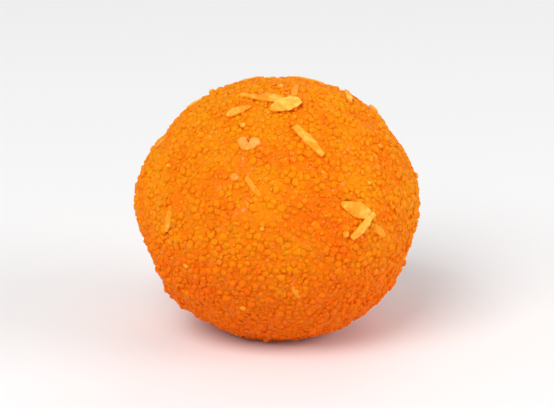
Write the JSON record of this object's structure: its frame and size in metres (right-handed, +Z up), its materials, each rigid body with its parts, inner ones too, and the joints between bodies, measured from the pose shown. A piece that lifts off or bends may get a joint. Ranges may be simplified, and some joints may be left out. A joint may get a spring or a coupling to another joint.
{
  "type": "boondi ladoo",
  "caption": "Round hand-pressed sweet of tiny fried gram-flour pearls in orange sugar syrup, slightly flattened, dotted with pale nut slivers, resting on a small flat foot",
  "frame": {"origin": "middle of the bounding box's lowest face, which is the middle of the small flat foot that the ladoo rests on", "axes": "+X is the ladoo's widest way, -Y is the side with the most garnish, which the picture shows, and +Z is up from the foot, the shortest way"},
  "size_m": [0.05, 0.0486, 0.0446],
  "materials": {
    "syrup_pearls": "opaque orange fried gram-flour pearls with a faint sugar-syrup sheen, set in deeper red-orange syrup",
    "nut_slivers": "pale yellow slivers and crumbs of nut and seed, matt, tinted by the syrup"
  },
  "bodies": {
    "root": {"ladoo": "syrup_pearls"}
  },
  "joints": []
}
